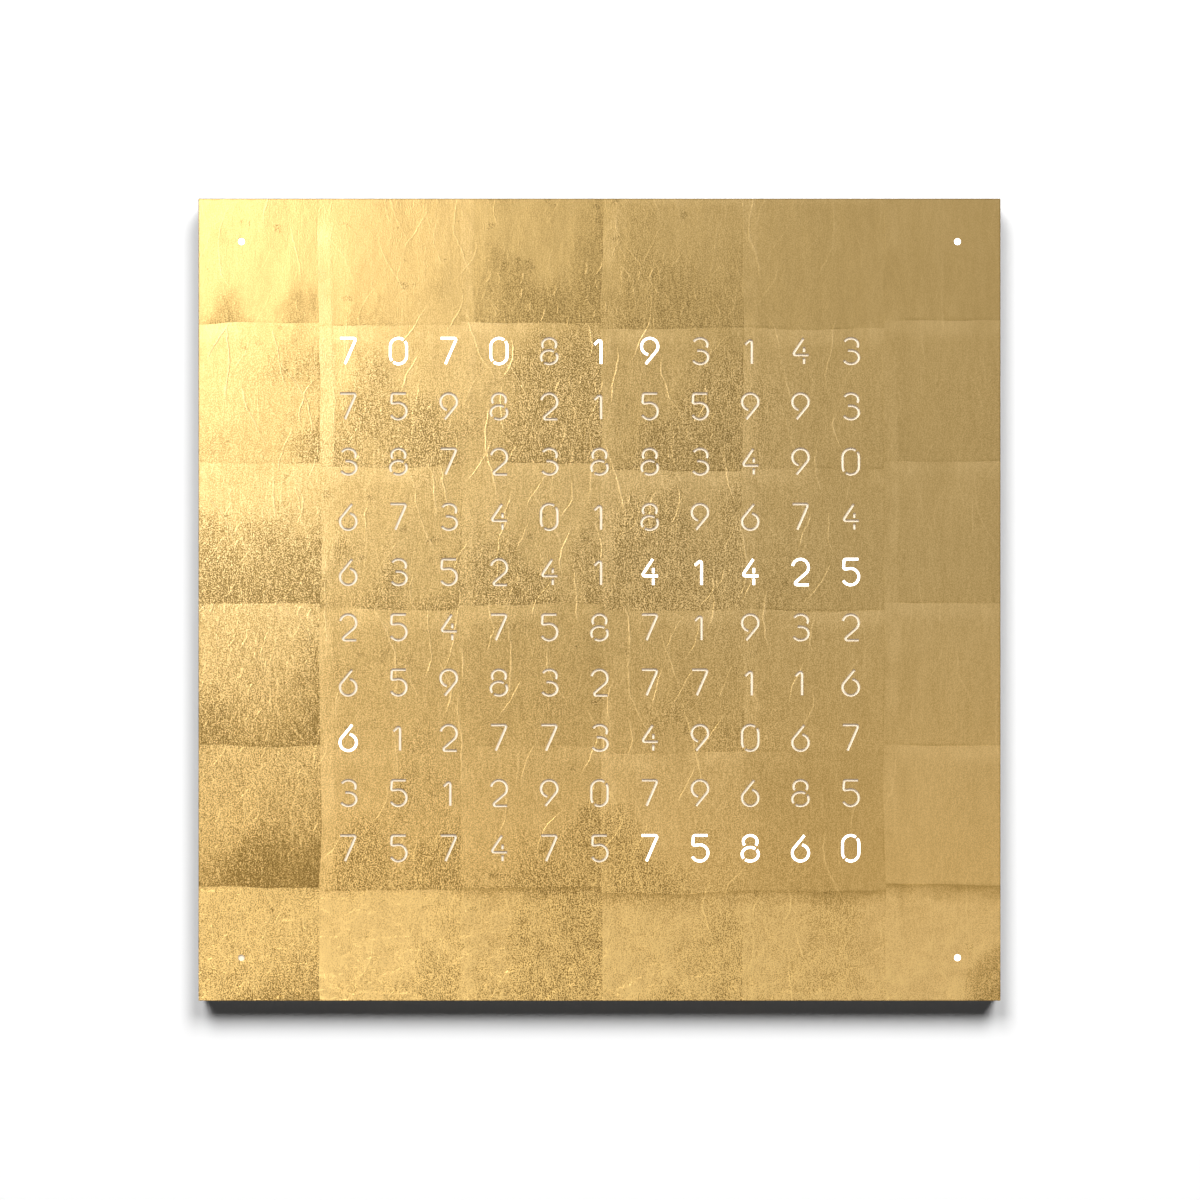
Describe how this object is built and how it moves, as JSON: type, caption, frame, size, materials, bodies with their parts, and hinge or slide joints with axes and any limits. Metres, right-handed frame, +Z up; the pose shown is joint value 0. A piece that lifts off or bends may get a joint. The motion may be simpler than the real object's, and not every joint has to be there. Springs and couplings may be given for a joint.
{
  "type": "word clock",
  "caption": "Square wall clock: a leaf-covered steel face pierced with a grid of characters lit from behind, held by magnets on a milled housing with keyhole hangers.",
  "frame": {"origin": "centre of the housing's back, on the plane of the wall", "axes": "-Y out of the dial towards the reader, +Y into the wall, +X to the reader's right, +Z up"},
  "size_m": [0.45, 0.02, 0.45],
  "materials": {
    "gold_leaf": "metal leaf laid on steel sheet, satin",
    "opal_sheet": "satin opal",
    "lacquered_board": "satin lacquer on fibreboard",
    "white_moulding": "moulded, matt",
    "circuit_board": "solder resist on glass laminate",
    "nickel_plate": "nickel plated",
    "zinc_steel": "zinc plated",
    "coated_steel": "fine textured powder coat",
    "black_moulding": "moulded, fine texture",
    "cable": "flat cable sheath",
    "clear_acrylic": "polished"
  },
  "bodies": {
    "housing": {"housing": "lacquered_board", "light_grid": "white_moulding", "led_board": "circuit_board", "corner_led_board_top_left": "circuit_board", "corner_led_board_top_right": "circuit_board", "corner_led_board_bottom_left": "circuit_board", "corner_led_board_bottom_right": "circuit_board", "corner_lead_top_left": "cable", "corner_lead_top_right": "cable", "corner_lead_bottom_left": "cable", "corner_lead_bottom_right": "cable", "magnet_top_left": "nickel_plate", "magnet_top_right": "nickel_plate", "magnet_bottom_left": "nickel_plate", "magnet_bottom_right": "nickel_plate", "magnet_left_upper": "nickel_plate", "magnet_left_lower": "nickel_plate", "magnet_right_upper": "nickel_plate", "magnet_right_lower": "nickel_plate", "ribbon_cable": "cable", "main_board": "circuit_board", "microcontroller": "black_moulding", "coin_cell_holder": "black_moulding", "coin_cell": "nickel_plate", "dc_inlet": "black_moulding", "switch_hour": "zinc_steel", "switch_minute": "zinc_steel", "switch_mode": "zinc_steel", "sensor_board": "circuit_board", "sensor_light_guide": "clear_acrylic", "sensor_lead": "cable", "rear_cover": "coated_steel", "rear_cover_screw_1": "zinc_steel", "rear_cover_screw_2": "zinc_steel", "rear_cover_screw_3": "zinc_steel", "rear_cover_screw_4": "zinc_steel", "main_board_screw_1": "zinc_steel", "main_board_screw_2": "zinc_steel", "main_board_screw_3": "zinc_steel", "main_board_screw_4": "zinc_steel", "hanger_plate_left": "zinc_steel", "hanger_plate_right": "zinc_steel", "hanger_screw_1": "zinc_steel", "hanger_screw_2": "zinc_steel", "hanger_screw_3": "zinc_steel", "hanger_screw_4": "zinc_steel"},
    "front_cover": {"front_cover": "gold_leaf", "diffuser_sheet": "opal_sheet", "corner_diffuser_top_left": "opal_sheet", "corner_diffuser_top_right": "opal_sheet", "corner_diffuser_bottom_left": "opal_sheet", "corner_diffuser_bottom_right": "opal_sheet", "locating_stud_left": "zinc_steel", "locating_stud_right": "zinc_steel"},
    "button_hour": {"button_hour": "black_moulding"},
    "button_minute": {"button_minute": "black_moulding"},
    "button_mode": {"button_mode": "black_moulding"}
  },
  "joints": [
    {"name": "cover_pull", "type": "slide", "parent": "housing", "child": "front_cover", "axis": [0, -1, 0], "range_m": [0, 0.03]},
    {"name": "hour_press", "type": "slide", "parent": "housing", "child": "button_hour", "axis": [0, -1, 0], "range_m": [0, 0.0008], "stiffness_N_per_m": 2500, "springref_m": -0.0002},
    {"name": "minute_press", "type": "slide", "parent": "housing", "child": "button_minute", "axis": [0, -1, 0], "range_m": [0, 0.0008], "stiffness_N_per_m": 2500, "springref_m": -0.0002},
    {"name": "mode_press", "type": "slide", "parent": "housing", "child": "button_mode", "axis": [0, -1, 0], "range_m": [0, 0.0008], "stiffness_N_per_m": 2500, "springref_m": -0.0002}
  ]
}
